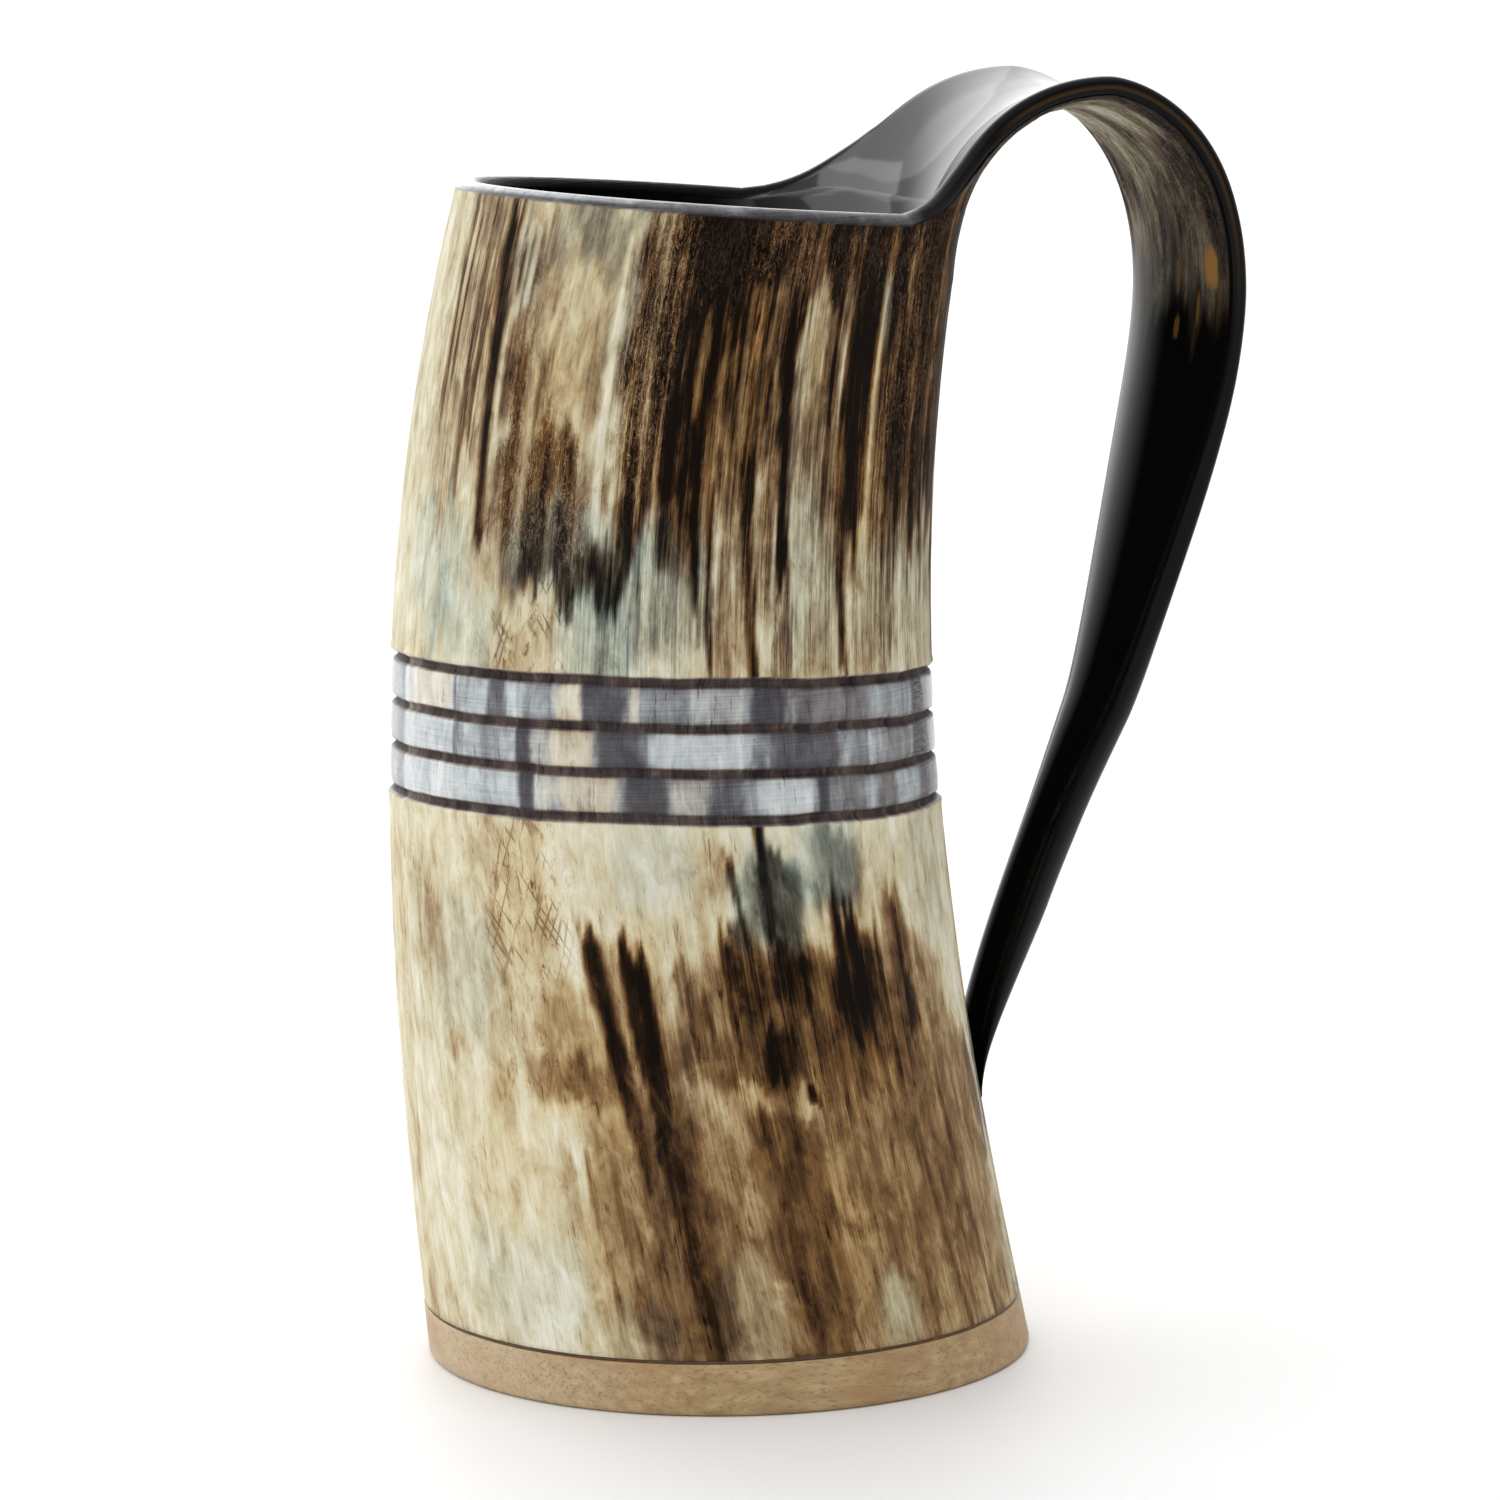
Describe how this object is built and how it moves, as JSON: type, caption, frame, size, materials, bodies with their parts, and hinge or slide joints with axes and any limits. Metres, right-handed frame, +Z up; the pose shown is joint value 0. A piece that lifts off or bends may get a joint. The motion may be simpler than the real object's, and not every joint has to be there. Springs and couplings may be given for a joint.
{
  "type": "horn tankard",
  "caption": "Drinking tankard of natural horn with an integral bent horn handle, a turned grooved band, a dark glossy bore and a flat wooden base.",
  "frame": {"origin": "centre of the flat underside of the wooden base, on the table plane", "axes": "+Z up out of the mouth, +X towards the handle, XZ is the plane of symmetry"},
  "size_m": [0.1205, 0.0848, 0.178],
  "materials": {
    "horn": "natural fibrous horn, rough outside, polished black on the handle and rim",
    "wood": "sanded light brown hardwood with short dark grain flecks",
    "lacquer": "glossy near-black food-safe lacquer",
    "resin": "glossy dark food-safe resin",
    "adhesive": "thin dark brown adhesive"
  },
  "bodies": {
    "root": {"horn_body": "horn", "wood_base": "wood", "base_glue_line": "adhesive", "floor_seal": "resin", "cup_lining": "lacquer", "handle_tip_glue": "adhesive"}
  },
  "joints": []
}
